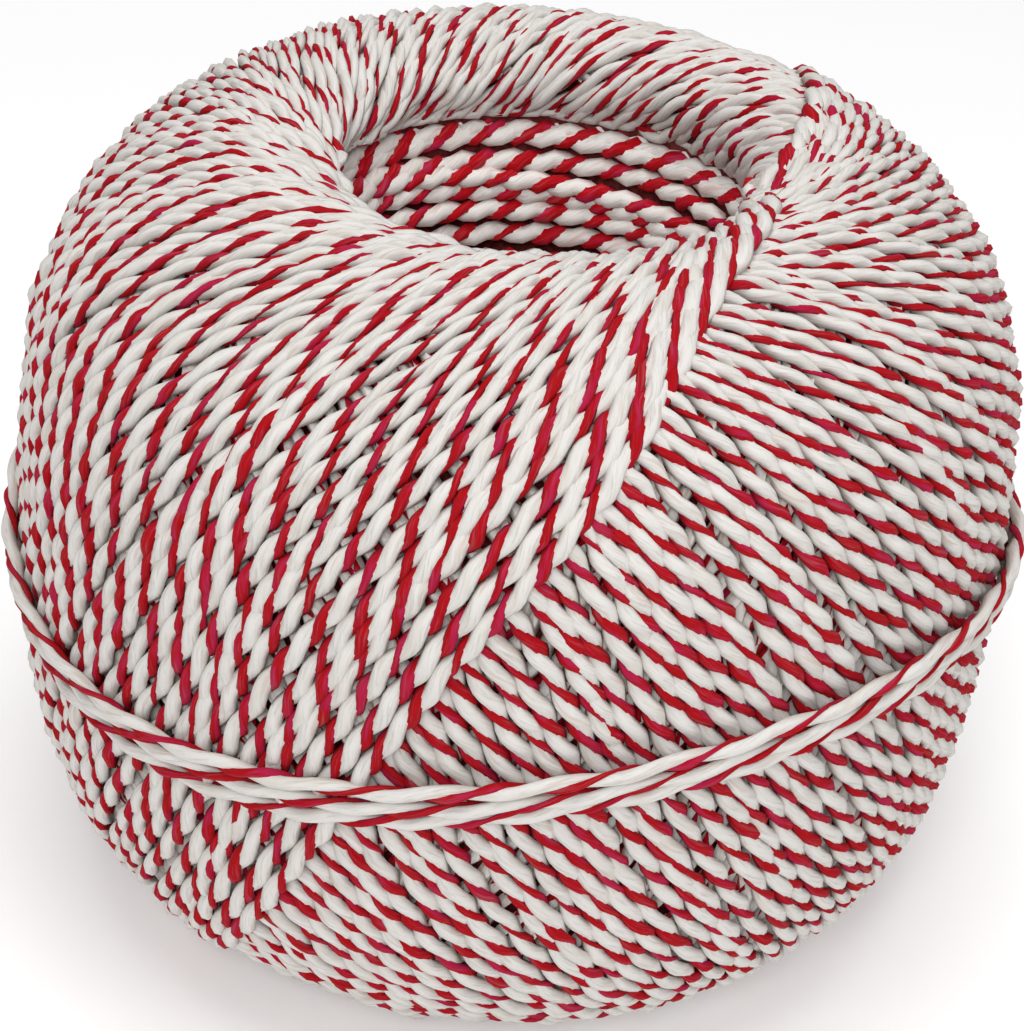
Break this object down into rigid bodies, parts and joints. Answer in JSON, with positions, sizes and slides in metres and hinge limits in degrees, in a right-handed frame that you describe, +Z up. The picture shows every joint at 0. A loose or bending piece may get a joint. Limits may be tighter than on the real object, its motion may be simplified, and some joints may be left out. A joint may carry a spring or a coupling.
{
  "type": "ball of twine",
  "caption": "Barrel-shaped ball of red and white cotton twine, wound round an open centre hole and bound by a few turns at its waist, standing on a small flat.",
  "frame": {"origin": "middle of the ball's box, at the base that it stands on", "axes": "+Z up along the centre hole; +X to the side of the hole that the last turn touches"},
  "size_m": [0.0918, 0.091, 0.0743],
  "materials": {
    "twine": "matt twisted cotton, off-white with one red ply"
  },
  "bodies": {
    "root": {"wound_twine_ball": "twine"}
  },
  "joints": []
}
